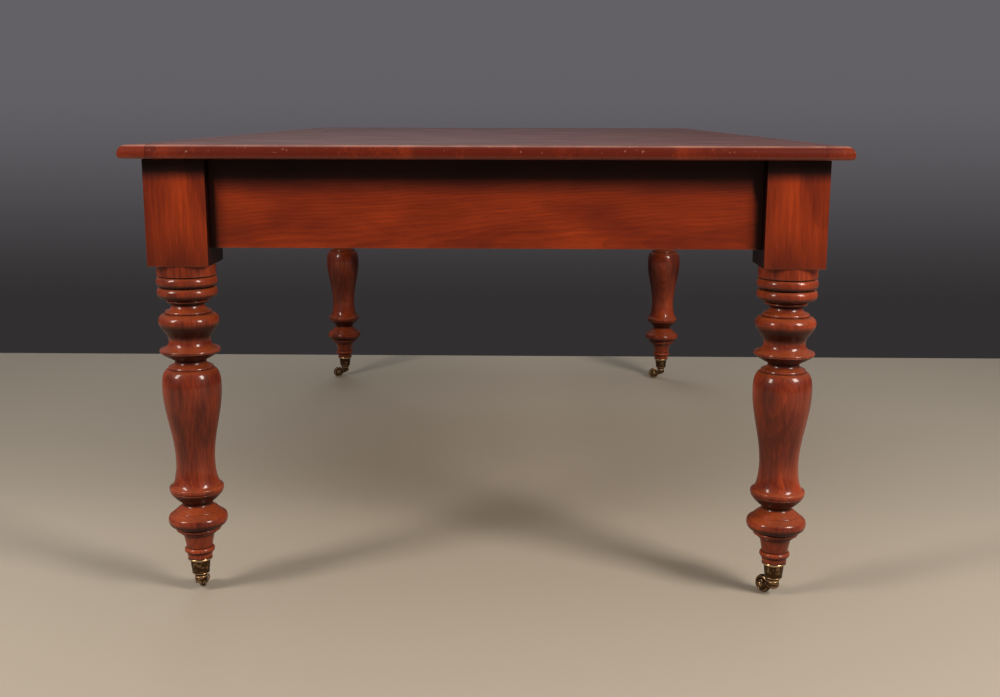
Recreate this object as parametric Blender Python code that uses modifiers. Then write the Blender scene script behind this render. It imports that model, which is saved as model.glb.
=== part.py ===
"""Partners writing table.

Four turned legs stand on brass cup castors and carry a frieze with three drawers in
each long side. The moulded top holds a leather inset. Run it with

    blender --background --python part.py

X runs across the table, Y along it and Z up, in metres. The origin is on the floor
below the middle of the top. Front is the end at -Y, left is the long side at -X.
"""

import math
from collections import namedtuple

import bmesh
import bpy
from mathutils import Matrix, Vector

# A shape to place: its base mesh, the meshes joined to it and the meshes cut from it
Shape = namedtuple("Shape", ("base", "joins", "cuts"), defaults=((), ()))

# Whole table
TABLE_HEIGHT = 0.760
TOP_WIDTH = 1.136
TOP_LENGTH = 1.868
TOP_THICKNESS = 0.022
TOP_OVERHANG = 0.029
CLEARANCE = 0.0003
CUT_OVERRUN = 0.002

# Angle in degrees between two faces from which their shared edge is shaded sharp
SHARP_ANGLE = 35.0

# Top: a board framed by four moulded strips, with leather laid over their inner edges
EDGE_WIDTH = 0.043
LEATHER_MARGIN = 0.032
THUMB_RADIUS = 0.013
THUMB_SEGMENTS = 4
UNDER_ROUND = 0.006
UNDER_SEGMENTS = 2
LEATHER_THICKNESS = 0.0015
LEATHER_DROP = 0.0003

# Legs: a square block above a long turning, with a spigot in the castor
BLOCK_SIDE = 0.098
BLOCK_HEIGHT = 0.171
LEG_RADIUS = 0.049
LEG_SEGMENTS = 16
POMMEL_RADIUS_SHARE = 0.976
POMMEL_ROOT_SHARE = 0.06
SPIGOT_RADIUS = 0.0115
SPIGOT_LENGTH_SHARE = 0.50

# Each row is a stretch of the turning, from the block down: its curve, its steps, and
# the height, radius and bulge at its lower end, as shares of the turned height and of
# the leg's radius
LEG_TURNING_SHARES = (
    ("line", 1, 0.964, 0.976, 0.000),
    ("line", 1, 0.960, 0.918, 0.000),
    ("bow", 3, 0.928, 0.918, 0.082),
    ("line", 1, 0.924, 0.898, 0.000),
    ("bow", 3, 0.890, 0.878, 0.110),
    ("line", 1, 0.883, 0.633, 0.000),
    ("line", 1, 0.869, 0.535, 0.000),
    ("flare", 2, 0.845, 0.755, 0.000),
    ("swell", 2, 0.814, 1.004, 0.000),
    ("ease", 3, 0.749, 0.690, 0.000),
    ("flare", 2, 0.720, 0.998, 0.000),
    ("line", 1, 0.713, 1.000, 0.000),
    ("bow", 2, 0.686, 0.571, 0.041),
    ("line", 1, 0.679, 0.518, 0.000),
    ("flare", 2, 0.660, 0.735, 0.000),
    ("swell", 2, 0.594, 0.988, 0.000),
    ("ease", 4, 0.341, 0.657, 0.000),
    ("flare", 2, 0.250, 0.902, 0.000),
    ("line", 1, 0.238, 0.898, 0.000),
    ("bow", 2, 0.201, 0.551, 0.051),
    ("line", 1, 0.192, 0.506, 0.000),
    ("line", 1, 0.187, 0.531, 0.000),
    ("line", 1, 0.156, 0.898, 0.000),
    ("swell", 2, 0.139, 1.004, 0.000),
    ("flare", 2, 0.115, 0.806, 0.000),
    ("line", 1, 0.110, 0.747, 0.000),
    ("line", 1, 0.099, 0.735, 0.000),
    ("line", 1, 0.095, 0.610, 0.000),
    ("bow", 2, 0.038, 0.441, -0.008),
    ("bow", 3, 0.019, 0.435, 0.065),
    ("line", 1, 0.000, 0.416, 0.000),
)

# Castors: a cup on the leg, a swivelling horn, a riveted axle and a wheel
CASTOR_SEGMENTS = 14
CASTOR_TRAIL = 0.022
WHEEL_RADIUS = 0.0155
WHEEL_WIDTH = 0.013
WHEEL_SEGMENTS = 16
WHEEL_SIDE_GAP = 0.0005
WHEEL_ROUND_GAP = 0.0008
AXLE_RADIUS = 0.0025
AXLE_SEGMENTS = 12
RIVET_RADIUS = 0.0040
RIVET_HEAD = 0.0011
CHEEK_THICKNESS = 0.003
CHEEK_END_RADIUS = 0.0055
CHEEK_ROOT_SHARE = 0.70
CHEEK_STEPS = 6
HORN_RADIUS = 0.0104
HORN_RISE = 0.0126
HORN_DROP = 0.0026
STEM_RADIUS = 0.004
STEM_LENGTH_SHARE = 0.31
CUP_HEIGHT = 0.0335
CUP_FLANGE_RADIUS = 0.0208
CUP_MOUTH_RADIUS = 0.0172
CUP_BASE_RADIUS = 0.0142
CUP_FOOT_RADIUS = 0.0106
CUP_FLANGE_SHARE = 0.11
CUP_CHAMFER_SHARE = 0.10

# Radius and depth of the horn's rounded foot, as shares, from its side to its middle
HORN_FOOT_SHARES = (
    (1.00, 0.60),
    (0.86, 0.88),
    (0.50, 1.00),
    (0.00, 1.00),
)

# Radius and half-width of the wheel's profile, as shares, from the bore to mid tread
WHEEL_PROFILE_SHARES = (
    (0.45, 1.00),
    (0.55, 0.78),
    (0.86, 0.80),
    (1.00, 0.45),
)

# The way each wheel trails at rest, in degrees from +X towards +Y
CASTOR_HEADINGS = {
    "front_left": 97.0,
    "front_right": 125.0,
    "back_left": 208.0,
    "back_right": 185.0,
}

# Frieze: end aprons, drawer rails, partitions and runners
APRON_HEIGHT = 0.142
APRON_THICKNESS = 0.024
FRIEZE_RECESS = 0.018
RAIL_DEPTH = 0.060
LOWER_RAIL_HEIGHT = 0.022
UPPER_RAIL_HEIGHT = 0.016
TENON_LENGTH = 0.028
APRON_TENON_SHARES = (0.38, 0.80)
RAIL_TENON_SHARES = (0.70, 0.48)
PARTITION_THICKNESS = 0.022
RUNNER_WIDTH = 0.014
RUNNER_HEIGHT = 0.016
GUIDE_HEIGHT = 0.020
RUNNER_SETBACK = 0.001
STOP_THICKNESS = 0.016
STOP_WIDTH = 0.010
STOP_HEIGHT = 0.030

# Drawers: a front with two knobs, and a box with sides, back and bottom
DRAWERS_PER_SIDE = 3
DRAWER_REVEAL = 0.001
DRAWER_FRONT_THICKNESS = 0.020
DRAWER_SIDE_THICKNESS = 0.010
DRAWER_BOTTOM_THICKNESS = 0.006
DRAWER_BOTTOM_RAISE = 0.005
DRAWER_HEADROOM = 0.006
KNOB_RADIUS = 0.017
KNOB_PROJECTION = 0.028
KNOB_SEGMENTS = 10
KNOB_SPIGOT_RADIUS = 0.006
KNOB_SPIGOT_SHARE = 0.90
KNOB_SPACING_SHARE = 0.56

# Radius and height of the knob's profile, as shares, from its crown to its foot
KNOB_PROFILE_SHARES = (
    (0.58, 0.98),
    (0.88, 0.88),
    (1.00, 0.72),
    (0.90, 0.56),
    (0.52, 0.38),
    (0.42, 0.22),
    (0.62, 0.04),
    (0.62, 0.00),
)

# Colour in sRGB, roughness and metallic value of each finish
FINISHES = {
    "mahogany": ("8a3a22", 0.28, 0.0),
    "oak": ("a67c4f", 0.55, 0.0),
    "leather": ("4a1f1c", 0.38, 0.0),
    "brass": ("a8873f", 0.32, 1.0),
}

# Heights and planes that follow from the sizes above
leather_top = TABLE_HEIGHT - LEATHER_DROP
leather_bottom = leather_top - LEATHER_THICKNESS
board_top = leather_bottom - CLEARANCE
top_underside = TABLE_HEIGHT - TOP_THICKNESS
frame_top = top_underside - CLEARANCE
block_bottom = frame_top - BLOCK_HEIGHT
frieze_bottom = frame_top - APRON_HEIGHT
rail_top = frieze_bottom + LOWER_RAIL_HEIGHT
upper_rail_bottom = frame_top - UPPER_RAIL_HEIGHT
leg_x = TOP_WIDTH / 2 - TOP_OVERHANG - BLOCK_SIDE / 2
leg_y = TOP_LENGTH / 2 - TOP_OVERHANG - BLOCK_SIDE / 2
block_inner_x = leg_x - BLOCK_SIDE / 2
block_inner_y = leg_y - BLOCK_SIDE / 2
frieze_x = leg_x + BLOCK_SIDE / 2 - FRIEZE_RECESS
frieze_y = leg_y + BLOCK_SIDE / 2 - FRIEZE_RECESS
rail_inner_x = frieze_x - RAIL_DEPTH
apron_inner_y = frieze_y - APRON_THICKNESS

axle_height = WHEEL_RADIUS * math.cos(math.pi / WHEEL_SEGMENTS)
horn_top = axle_height + HORN_RISE
cheek_inner = WHEEL_WIDTH / 2 + WHEEL_SIDE_GAP
cheek_outer = cheek_inner + CHEEK_THICKNESS
cup_bottom = horn_top + CLEARANCE
cup_top = cup_bottom + CUP_HEIGHT
foot_height = cup_top + CLEARANCE
spigot_bottom = foot_height - SPIGOT_LENGTH_SHARE * CUP_HEIGHT
stem_top = horn_top + STEM_LENGTH_SHARE * CUP_HEIGHT

bay_width = (2 * block_inner_y - (DRAWERS_PER_SIDE - 1) * PARTITION_THICKNESS) / DRAWERS_PER_SIDE
bay_pitch = bay_width + PARTITION_THICKNESS
drawer_width = bay_width - 2 * DRAWER_REVEAL
opening_height = upper_rail_bottom - rail_top
box_length = frieze_x - DRAWER_FRONT_THICKNESS - STOP_THICKNESS / 2 - 2 * CLEARANCE

ENDS = (("front", -1), ("back", 1))
SIDES = (("left", -1), ("right", 1))


# Scene helpers

def clear_scene():
    """Remove every object that the file starts with."""
    for obj in list(bpy.data.objects):
        bpy.data.objects.remove(obj, do_unlink=True)


def new_collection(name):
    """Add a collection to the scene."""
    collection = bpy.data.collections.new(name)
    bpy.context.scene.collection.children.link(collection)
    return collection


def linear(channel):
    """Linear value of one sRGB channel."""
    if channel <= 0.04045:
        return channel / 12.92
    return ((channel + 0.055) / 1.055) ** 2.4


def new_finish(name, kind):
    """A Principled material with the colour, roughness and metallic value of a finish."""
    colour, roughness, metallic = FINISHES[kind]
    channels = [linear(int(colour[i:i + 2], 16) / 255) for i in (0, 2, 4)]
    material = bpy.data.materials.new(name + "_finish")
    material.use_nodes = True
    shader = material.node_tree.nodes["Principled BSDF"]
    shader.inputs["Base Color"].default_value = (*channels, 1.0)
    shader.inputs["Roughness"].default_value = roughness
    shader.inputs["Metallic"].default_value = metallic
    material.diffuse_color = (*channels, 1.0)
    return material


def new_axis(name, location, turn):
    """An empty on a joint's axis, turned about Z by an angle in radians."""
    empty = bpy.data.objects.new(name, None)
    empty.location = location
    empty.rotation_euler = (0.0, 0.0, turn)
    table.objects.link(empty)
    return empty


def add_boolean(part, operation, mesh):
    """A live Boolean, whose tool moves with the part."""
    tool = bpy.data.objects.new(f"{part.name}_{operation.lower()}", mesh)
    tool.parent = part
    tool.hide_render = True
    tool.display_type = "WIRE"
    cutters.objects.link(tool)
    boolean = part.modifiers.new(operation.title(), "BOOLEAN")
    boolean.operation = operation
    boolean.solver = "EXACT"
    boolean.object = tool


def add_part(name, shape, kind, location=(0, 0, 0), parent=None):
    """Place a shape in the scene as one sub-part with its own finish."""
    part = bpy.data.objects.new(name, shape.base)
    part.location = location
    part.parent = parent
    if not shape.base.materials:
        shape.base.materials.append(None)
    part.material_slots[0].link = "OBJECT"
    part.material_slots[0].material = new_finish(name, kind)
    table.objects.link(part)
    for mesh in shape.joins:
        add_boolean(part, "UNION", mesh)
    for mesh in shape.cuts:
        add_boolean(part, "DIFFERENCE", mesh)


# Mesh helpers

def to_mesh(bm):
    """Turn a bmesh into mesh data."""
    mesh = bpy.data.meshes.new("shape")
    bm.to_mesh(mesh)
    bm.free()
    return mesh


def evaluated(obj):
    """Mesh of an object with its modifiers applied. The working object is removed."""
    bpy.context.scene.collection.objects.link(obj)
    depsgraph = bpy.context.evaluated_depsgraph_get()
    mesh = bpy.data.meshes.new_from_object(obj.evaluated_get(depsgraph), depsgraph=depsgraph)
    bpy.data.objects.remove(obj, do_unlink=True)
    return mesh


def box(low, high):
    """A plain box between two corners."""
    low, high = Vector(low), Vector(high)
    bm = bmesh.new()
    bmesh.ops.create_cube(bm, size=1.0)
    bmesh.ops.scale(bm, vec=high - low, verts=bm.verts)
    bmesh.ops.translate(bm, vec=(low + high) / 2, verts=bm.verts)
    return to_mesh(bm)


def mirrored_box(half_x, half_y, bottom, top):
    """A box centred on the Z axis."""
    return box((-half_x, -half_y, bottom), (half_x, half_y, top))


def moved(mesh, matrix):
    """Move or turn a mesh's own points."""
    mesh.transform(matrix)
    return mesh


def turned(profile, segments, ring=False):
    """A body of revolution about Z from (radius, height) points, top to bottom."""
    mesh = bpy.data.meshes.new("profile")
    points = [(radius, 0.0, height) for radius, height in profile]
    edges = [(i, i + 1) for i in range(len(points) - 1)]
    if ring:
        edges.append((len(points) - 1, 0))
    mesh.from_pydata(points, edges, [])
    obj = bpy.data.objects.new("profile", mesh)
    screw = obj.modifiers.new("Screw", "SCREW")
    screw.axis = "Z"
    screw.angle = 2 * math.pi
    screw.steps = segments
    screw.render_steps = segments
    screw.use_merge_vertices = True
    screw.merge_threshold = CLEARANCE / 100
    result = evaluated(obj)
    result.shade_smooth()
    result.set_sharp_from_angle(angle=math.radians(SHARP_ANGLE))
    return result


def extruded(points, thickness):
    """A flat outline in XY, extruded evenly above and below its plane."""
    curve = bpy.data.curves.new("outline", "CURVE")
    curve.dimensions = "2D"
    curve.fill_mode = "BOTH"
    curve.extrude = thickness / 2
    spline = curve.splines.new("POLY")
    spline.points.add(len(points) - 1)
    for point, (x, y) in zip(spline.points, points):
        point.co = (x, y, 0.0, 1.0)
    spline.use_cyclic_u = True
    mesh = evaluated(bpy.data.objects.new("outline", curve))
    bm = bmesh.new()
    bm.from_mesh(mesh)
    bmesh.ops.remove_doubles(bm, verts=bm.verts, dist=CLEARANCE / 100)
    return to_mesh(bm)


def upright(points, thickness):
    """A flat outline given in XZ, extruded along Y about the XZ plane."""
    return moved(extruded(points, thickness), Matrix.Rotation(math.pi / 2, 4, "X"))


def rounded(mesh, sides, height, radius, segments):
    """Round the level edges of a box that lie at one height on some of its sides."""
    bm = bmesh.new()
    bm.from_mesh(mesh)
    reach = [max(abs(v.co[axis]) for v in bm.verts) for axis in (0, 1)]
    chosen = []
    for edge in bm.edges:
        middle = (edge.verts[0].co + edge.verts[1].co) / 2
        level = all(abs(v.co.z - height) < CLEARANCE / 2 for v in edge.verts)
        for axis, sign in sides:
            if level and abs(middle[axis] - sign * reach[axis]) < CLEARANCE / 2:
                chosen.append(edge)
    bmesh.ops.bevel(bm, geom=chosen, offset=radius, segments=segments,
                    profile=0.5, affect="EDGES")
    return to_mesh(bm)


# Curves of a turning: each gives the shares of radius and height covered at a step

CURVES = {
    "line": lambda t: (t, t),
    "ease": lambda t: ((1 - math.cos(math.pi * t)) / 2, t),
    "swell": lambda t: (math.sin(math.pi * t / 2), 1 - math.cos(math.pi * t / 2)),
    "flare": lambda t: (1 - math.cos(math.pi * t / 2), math.sin(math.pi * t / 2)),
    "bow": lambda t: ((1 - math.cos(math.pi * t)) / 2, (1 - math.cos(math.pi * t)) / 2),
}


def turning_points(start, rows, base, height, radius):
    """Points of a turning below its start, from rows of curves and shares."""
    points = [start]
    for kind, steps, height_share, radius_share, bulge_share in rows:
        r0, z0 = points[-1]
        r1, z1 = radius * radius_share, base + height * height_share
        for step in range(1, steps + 1):
            t = step / steps
            across, down = CURVES[kind](t)
            bulge = radius * bulge_share * math.sin(math.pi * t)
            points.append((r0 + (r1 - r0) * across + bulge, z0 + (z1 - z0) * down))
    return points


# Legs

def grown(low, high):
    """A box with a clearance on every side of another."""
    margin = Vector((CLEARANCE, CLEARANCE, CLEARANCE))
    return box(Vector(low) - margin, Vector(high) + margin)


def turned_leg():
    """The turned part of a leg, from its root in the block to the end of its spigot."""
    turned_height = block_bottom - foot_height
    pommel = LEG_RADIUS * POMMEL_RADIUS_SHARE
    root = block_bottom + BLOCK_HEIGHT * POMMEL_ROOT_SHARE
    profile = [(0.0, root)]
    profile += turning_points((pommel, root), LEG_TURNING_SHARES, foot_height, turned_height,
                              LEG_RADIUS)
    profile += [(SPIGOT_RADIUS, foot_height), (SPIGOT_RADIUS, spigot_bottom), (0.0, spigot_bottom)]
    return turned(profile, LEG_SEGMENTS)


def mortises(location, tongues):
    """Pockets in the leg at a location for the tongues that reach it."""
    pockets = []
    for low, high in tongues:
        near = [max(a, place - BLOCK_SIDE / 2) for a, place in zip(low, location)]
        far = [min(b, place + BLOCK_SIDE / 2) for b, place in zip(high, location)]
        if near[0] < far[0] and near[1] < far[1]:
            pockets.append(moved(grown(low, high), Matrix.Translation(-Vector(location))))
    return pockets


# Castors

def cup_shape():
    """Brass cup: a flanged socket for the leg's spigot and a bore for the horn's stem."""
    pocket_radius = SPIGOT_RADIUS + CLEARANCE
    pocket_floor = spigot_bottom - CLEARANCE
    bore_radius = STEM_RADIUS + CLEARANCE
    bore_top = stem_top + CLEARANCE
    return Shape(turned((
        (0.0, pocket_floor),
        (pocket_radius, pocket_floor),
        (pocket_radius, cup_top),
        (CUP_FLANGE_RADIUS, cup_top),
        (CUP_FLANGE_RADIUS, cup_top - CUP_HEIGHT * CUP_FLANGE_SHARE),
        (CUP_MOUTH_RADIUS, cup_top - CUP_HEIGHT * CUP_FLANGE_SHARE),
        (CUP_BASE_RADIUS, cup_bottom + CUP_HEIGHT * CUP_CHAMFER_SHARE),
        (CUP_FOOT_RADIUS, cup_bottom),
        (bore_radius, cup_bottom),
        (bore_radius, bore_top),
        (0.0, bore_top),
    ), CASTOR_SEGMENTS))


def across_trail(mesh):
    """Turn a body of revolution so that its axis lies along the axle."""
    flat_down = Matrix.Rotation(math.pi / WHEEL_SEGMENTS, 4, "Z")
    return moved(mesh, Matrix.Rotation(math.pi / 2, 4, "X") @ flat_down)


def axle_bore(radius, reach, segments):
    """A round cut about the axle, to the same reach on both sides."""
    cut = turned(((0.0, reach), (radius, reach), (radius, -reach), (0.0, -reach)), segments)
    return moved(across_trail(cut), Matrix.Translation((CASTOR_TRAIL, 0.0, axle_height)))


def horn_shape():
    """Round horn with a stem, and two cheeks that reach back to the axle."""
    drop = HORN_RISE + HORN_DROP
    profile = [(0.0, stem_top), (STEM_RADIUS, stem_top), (STEM_RADIUS, horn_top),
               (HORN_RADIUS, horn_top)]
    profile += [(HORN_RADIUS * r, horn_top - drop * h) for r, h in HORN_FOOT_SHARES]
    horn = turned(profile, CASTOR_SEGMENTS)
    root_top = axle_height + HORN_RISE * CHEEK_ROOT_SHARE
    slope = math.atan2(-HORN_RISE * CHEEK_ROOT_SHARE, CASTOR_TRAIL)
    outline = [(0.0, root_top), (0.0, axle_height - HORN_DROP * CHEEK_ROOT_SHARE)]
    for step in range(CHEEK_STEPS + 1):
        angle = slope + math.pi * (step / CHEEK_STEPS - 0.5)
        outline.append((CASTOR_TRAIL + CHEEK_END_RADIUS * math.cos(angle),
                        axle_height + CHEEK_END_RADIUS * math.sin(angle)))
    middle = (cheek_inner + cheek_outer) / 2
    cheeks = [moved(upright(outline, CHEEK_THICKNESS), Matrix.Translation((0.0, side * middle, 0.0)))
              for side in (-1, 1)]
    wheel_space = axle_bore(WHEEL_RADIUS + WHEEL_ROUND_GAP, cheek_inner, WHEEL_SEGMENTS)
    hole = axle_bore(AXLE_RADIUS + CLEARANCE, cheek_outer + CUT_OVERRUN, AXLE_SEGMENTS)
    return Shape(horn, cheeks, [wheel_space, hole])


def axle_shape():
    """Axle with a rivet head outside each cheek."""
    shoulder = cheek_outer + CLEARANCE
    end = shoulder + RIVET_HEAD
    half = ((0.0, end), (RIVET_RADIUS / 2, end), (RIVET_RADIUS, shoulder), (AXLE_RADIUS, shoulder))
    other_half = [(radius, -height) for radius, height in reversed(half)]
    return Shape(across_trail(turned((*half, *other_half), AXLE_SEGMENTS)))


def wheel_shape():
    """Wheel with a raised hub, a thinner web and a rounded tread."""
    bore = AXLE_RADIUS + CLEARANCE
    half_width = WHEEL_WIDTH / 2
    side = [(WHEEL_RADIUS * r, half_width * w) for r, w in WHEEL_PROFILE_SHARES]
    other_side = [(radius, -height) for radius, height in reversed(side)]
    profile = [(bore, -half_width), (bore, half_width), *side, *other_side]
    return Shape(across_trail(turned(profile, WHEEL_SEGMENTS, ring=True)))


# Frieze

def apron_parts(y_sign):
    """Body and tongue of the apron at one end, as corner pairs."""
    thickness_share, height_share = APRON_TENON_SHARES
    half = block_inner_x - CLEARANCE
    y_low, y_high = sorted((y_sign * apron_inner_y, y_sign * frieze_y))
    y_middle = (y_low + y_high) / 2
    z_middle = (frieze_bottom + frame_top) / 2
    tip = block_inner_x + TENON_LENGTH
    tongue_y = APRON_THICKNESS * thickness_share / 2
    tongue_z = APRON_HEIGHT * height_share / 2
    body = ((-half, y_low, frieze_bottom), (half, y_high, frame_top))
    tongue = ((-tip, y_middle - tongue_y, z_middle - tongue_z),
              (tip, y_middle + tongue_y, z_middle + tongue_z))
    return body, tongue


def rail_parts(x_sign, bottom, top):
    """Body and tongue of a drawer rail in one long side, as corner pairs."""
    width_share, height_share = RAIL_TENON_SHARES
    half = block_inner_y - CLEARANCE
    x_low, x_high = sorted((x_sign * rail_inner_x, x_sign * frieze_x))
    x_middle = (x_low + x_high) / 2
    z_middle = (bottom + top) / 2
    tip = block_inner_y + TENON_LENGTH
    tongue_x = RAIL_DEPTH * width_share / 2
    tongue_z = (top - bottom) * height_share / 2
    body = ((x_low, -half, bottom), (x_high, half, top))
    tongue = ((x_middle - tongue_x, -tip, z_middle - tongue_z),
              (x_middle + tongue_x, tip, z_middle + tongue_z))
    return body, tongue


def tenoned(body, tongue):
    """A board with a tenon at each end, from its body and its tongue."""
    return Shape(box(*body), [box(*tongue)])


def partition_shape():
    """Cross partition, notched round the rails, with its runners and drawer stops."""
    inner = rail_inner_x - CLEARANCE
    outer = frieze_x + CUT_OVERRUN
    half_thickness = PARTITION_THICKNESS / 2
    cut_y = half_thickness + CUT_OVERRUN
    board = mirrored_box(frieze_x, half_thickness, frieze_bottom, frame_top)
    runners = mirrored_box(inner - RUNNER_SETBACK, half_thickness + RUNNER_WIDTH,
                           rail_top - RUNNER_HEIGHT, rail_top)
    stops = mirrored_box(STOP_THICKNESS / 2, half_thickness + STOP_WIDTH,
                         rail_top - RUNNER_HEIGHT / 2, rail_top + STOP_HEIGHT)
    notches = []
    for low_x, high_x in ((-outer, -inner), (inner, outer)):
        notches.append(box((low_x, -cut_y, frieze_bottom - CUT_OVERRUN),
                           (high_x, cut_y, rail_top + CLEARANCE)))
        notches.append(box((low_x, -cut_y, upper_rail_bottom - CLEARANCE),
                           (high_x, cut_y, frame_top + CUT_OVERRUN)))
    return Shape(board, [runners, stops], notches)


def end_runner_shape(y_sign):
    """Runner and guide for the end drawers, fixed inside an apron, with a stop."""
    half = block_inner_x - CLEARANCE
    apron_face = apron_inner_y - CLEARANCE
    inner = block_inner_y - RUNNER_WIDTH
    outline = [(inner, rail_top - RUNNER_HEIGHT), (apron_face, rail_top - RUNNER_HEIGHT),
               (apron_face, rail_top + GUIDE_HEIGHT), (block_inner_y, rail_top + GUIDE_HEIGHT),
               (block_inner_y, rail_top), (inner, rail_top)]
    strip = upright([(y_sign * y, z) for y, z in outline], 2 * half)
    moved(strip, Matrix.Rotation(math.pi / 2, 4, "Z"))
    y_low, y_high = sorted((y_sign * (block_inner_y - STOP_WIDTH),
                            y_sign * (block_inner_y + STOP_WIDTH)))
    stop = box((-STOP_THICKNESS / 2, y_low, rail_top - RUNNER_HEIGHT / 2),
               (STOP_THICKNESS / 2, y_high, rail_top + STOP_HEIGHT))
    return Shape(strip, [stop])


# Top

def leather_bed():
    """The space that the leather lies in, open above."""
    return mirrored_box(TOP_WIDTH / 2 - LEATHER_MARGIN, TOP_LENGTH / 2 - LEATHER_MARGIN,
                        board_top, TABLE_HEIGHT + CUT_OVERRUN)


def strip_shape(low, high, sides):
    """A strip of the top's edge: moulded outside, and rebated inside for the leather."""
    mesh = rounded(box(low, high), sides, TABLE_HEIGHT, THUMB_RADIUS, THUMB_SEGMENTS)
    mesh = rounded(mesh, sides, top_underside, UNDER_ROUND, UNDER_SEGMENTS)
    return Shape(mesh, cuts=[leather_bed()])


def side_strip_shape(x_sign):
    """Moulded strip along a long side, with the moulding returned at both ends."""
    x_low, x_high = sorted((x_sign * (TOP_WIDTH / 2 - EDGE_WIDTH), x_sign * TOP_WIDTH / 2))
    return strip_shape((x_low, -TOP_LENGTH / 2, top_underside),
                       (x_high, TOP_LENGTH / 2, TABLE_HEIGHT),
                       ((0, x_sign), (1, -1), (1, 1)))


def end_strip_shape(y_sign):
    """Moulded strip across an end, between the two side strips."""
    half = TOP_WIDTH / 2 - EDGE_WIDTH - CLEARANCE
    y_low, y_high = sorted((y_sign * (TOP_LENGTH / 2 - EDGE_WIDTH), y_sign * TOP_LENGTH / 2))
    return strip_shape((-half, y_low, top_underside), (half, y_high, TABLE_HEIGHT),
                       ((1, y_sign),))


# Drawers, in a frame with +X outwards from the front's outer face and Z from the rail

def knob_places():
    """Y and Z of the two knobs on a drawer front."""
    offset = drawer_width * KNOB_SPACING_SHARE / 2
    height = opening_height / 2
    return ((-offset, height), (offset, height))


def outward():
    """Turn a body of revolution so that its Z axis points out of the drawer."""
    return Matrix.Rotation(math.pi / 2, 4, "Y")


def drawer_front_shape():
    """Drawer front with a through hole for each knob's spigot."""
    front = box((-DRAWER_FRONT_THICKNESS, -drawer_width / 2, DRAWER_REVEAL),
                (0.0, drawer_width / 2, opening_height - DRAWER_REVEAL))
    radius = KNOB_SPIGOT_RADIUS + CLEARANCE
    near, far = CUT_OVERRUN, -DRAWER_FRONT_THICKNESS - CUT_OVERRUN
    holes = []
    for y, z in knob_places():
        hole = turned(((0.0, near), (radius, near), (radius, far), (0.0, far)), KNOB_SEGMENTS)
        holes.append(moved(hole, Matrix.Translation((0.0, y, z)) @ outward()))
    return Shape(front, cuts=holes)


def drawer_box_shape():
    """Drawer sides, back and bottom, open above and at the front."""
    front = -DRAWER_FRONT_THICKNESS - CLEARANCE
    back = front - box_length
    inner_back = back + DRAWER_SIDE_THICKNESS
    half = drawer_width / 2
    inner = half - DRAWER_SIDE_THICKNESS
    top = opening_height - DRAWER_HEADROOM
    under = CLEARANCE + DRAWER_BOTTOM_RAISE
    floor = under + DRAWER_BOTTOM_THICKNESS
    body = box((back, -half, CLEARANCE), (front, half, top))
    inside = box((inner_back, -inner, floor), (front + CUT_OVERRUN, inner, top + CUT_OVERRUN))
    below = box((inner_back, -inner, CLEARANCE - CUT_OVERRUN), (front + CUT_OVERRUN, inner, under))
    return Shape(body, cuts=[inside, below])


def knob_shape():
    """Turned knob with a spigot, its axis along the drawer's travel."""
    crown = KNOB_PROJECTION + CLEARANCE
    profile = [(0.0, crown)]
    profile += [(KNOB_RADIUS * r, CLEARANCE + KNOB_PROJECTION * h) for r, h in KNOB_PROFILE_SHARES]
    end = -DRAWER_FRONT_THICKNESS * KNOB_SPIGOT_SHARE
    profile += [(KNOB_SPIGOT_RADIUS, CLEARANCE), (KNOB_SPIGOT_RADIUS, end), (0.0, end)]
    return Shape(moved(turned(profile, KNOB_SEGMENTS), outward()))


# Assembly

def add_frieze():
    """Aprons, rails, partitions and runners. Gives the tongues that the legs house."""
    tongues = []
    for end, y_sign in ENDS:
        body, tongue = apron_parts(y_sign)
        tongues.append(tongue)
        add_part(f"end_apron_{end}", tenoned(body, tongue), "mahogany")
        add_part(f"end_runner_{end}", end_runner_shape(y_sign), "oak")
    levels = (("lower", frieze_bottom, rail_top), ("upper", upper_rail_bottom, frame_top))
    for side, x_sign in SIDES:
        for level, bottom, top in levels:
            body, tongue = rail_parts(x_sign, bottom, top)
            tongues.append(tongue)
            add_part(f"{level}_rail_{side}", tenoned(body, tongue), "mahogany")
    partition = partition_shape()
    for number in range(1, DRAWERS_PER_SIDE):
        y = (number - DRAWERS_PER_SIDE / 2) * bay_pitch
        add_part(f"partition_{number}", partition, "mahogany", location=(0.0, y, 0.0))
    return tongues


def add_legs(tongues):
    """Four legs, each a block joined to the same turning and cut with its own mortises."""
    turning = turned_leg()
    for end, y_sign in ENDS:
        for side, x_sign in SIDES:
            location = (x_sign * leg_x, y_sign * leg_y, 0.0)
            block = mirrored_box(BLOCK_SIDE / 2, BLOCK_SIDE / 2, block_bottom, frame_top)
            leg = Shape(block, [turning], mortises(location, tongues))
            add_part(f"leg_{end}_{side}", leg, "mahogany", location=location)


def add_castors():
    """A cup fixed to each leg, and a horn, axle and wheel that swivel below it."""
    cup, horn, axle, wheel = cup_shape(), horn_shape(), axle_shape(), wheel_shape()
    axle_place = (CASTOR_TRAIL, 0.0, axle_height)
    for end, y_sign in ENDS:
        for side, x_sign in SIDES:
            place = f"{end}_{side}"
            location = (x_sign * leg_x, y_sign * leg_y, 0.0)
            heading = math.radians(CASTOR_HEADINGS[place])
            swivel = new_axis(f"castor_swivel_{place}", location, heading)
            add_part(f"castor_cup_{place}", cup, "brass", location=location)
            add_part(f"castor_horn_{place}", horn, "brass", parent=swivel)
            add_part(f"castor_axle_{place}", axle, "brass", location=axle_place, parent=swivel)
            add_part(f"castor_wheel_{place}", wheel, "brass", location=axle_place, parent=swivel)


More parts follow.
